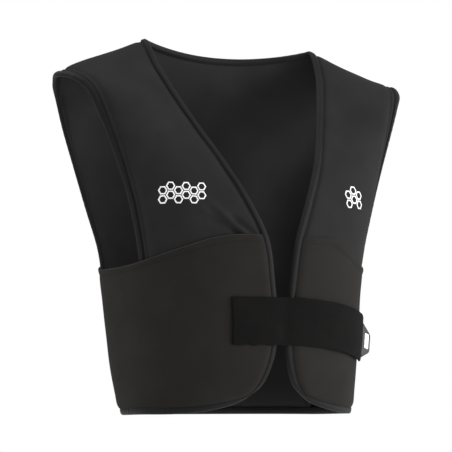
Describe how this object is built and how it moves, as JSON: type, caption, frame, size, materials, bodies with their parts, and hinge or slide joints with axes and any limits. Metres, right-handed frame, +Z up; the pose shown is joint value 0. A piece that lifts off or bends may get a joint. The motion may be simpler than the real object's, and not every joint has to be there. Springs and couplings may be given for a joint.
{
  "type": "rib protector",
  "caption": "Sleeveless padded rib protector vest with an open V front, bound edges, lower side bands and a wide closure strap with a pull tab, in its worn form.",
  "frame": {"origin": "midway between the two neck points on the shoulder line, where the vest rests on the wearer's shoulders", "axes": "+Z up, -Y towards the front of the wearer, +X to the wearer's left"},
  "size_m": [0.4662, 0.2482, 0.4466],
  "materials": {
    "panel_fabric": "matte, finely woven black cloth over foam",
    "band_fabric": "matte, slightly brownish black stretch cloth",
    "binding_tape": "satin black tape with a row of stitches",
    "strap_webbing": "dull black brushed loop cloth",
    "hook_field": "matte black hook tape",
    "tab_rubber": "matte dark grey moulded rubber"
  },
  "bodies": {
    "root": {"front_panel_right": "panel_fabric", "front_panel_left": "panel_fabric", "back_panel": "panel_fabric", "edge_binding": "binding_tape", "armhole_binding_right": "binding_tape", "armhole_binding_left": "binding_tape", "back_hem_binding": "binding_tape", "side_band_right": "band_fabric", "side_band_left": "band_fabric", "closure_strap": "strap_webbing", "hook_patch": "hook_field", "pull_tab": "tab_rubber"}
  },
  "joints": []
}
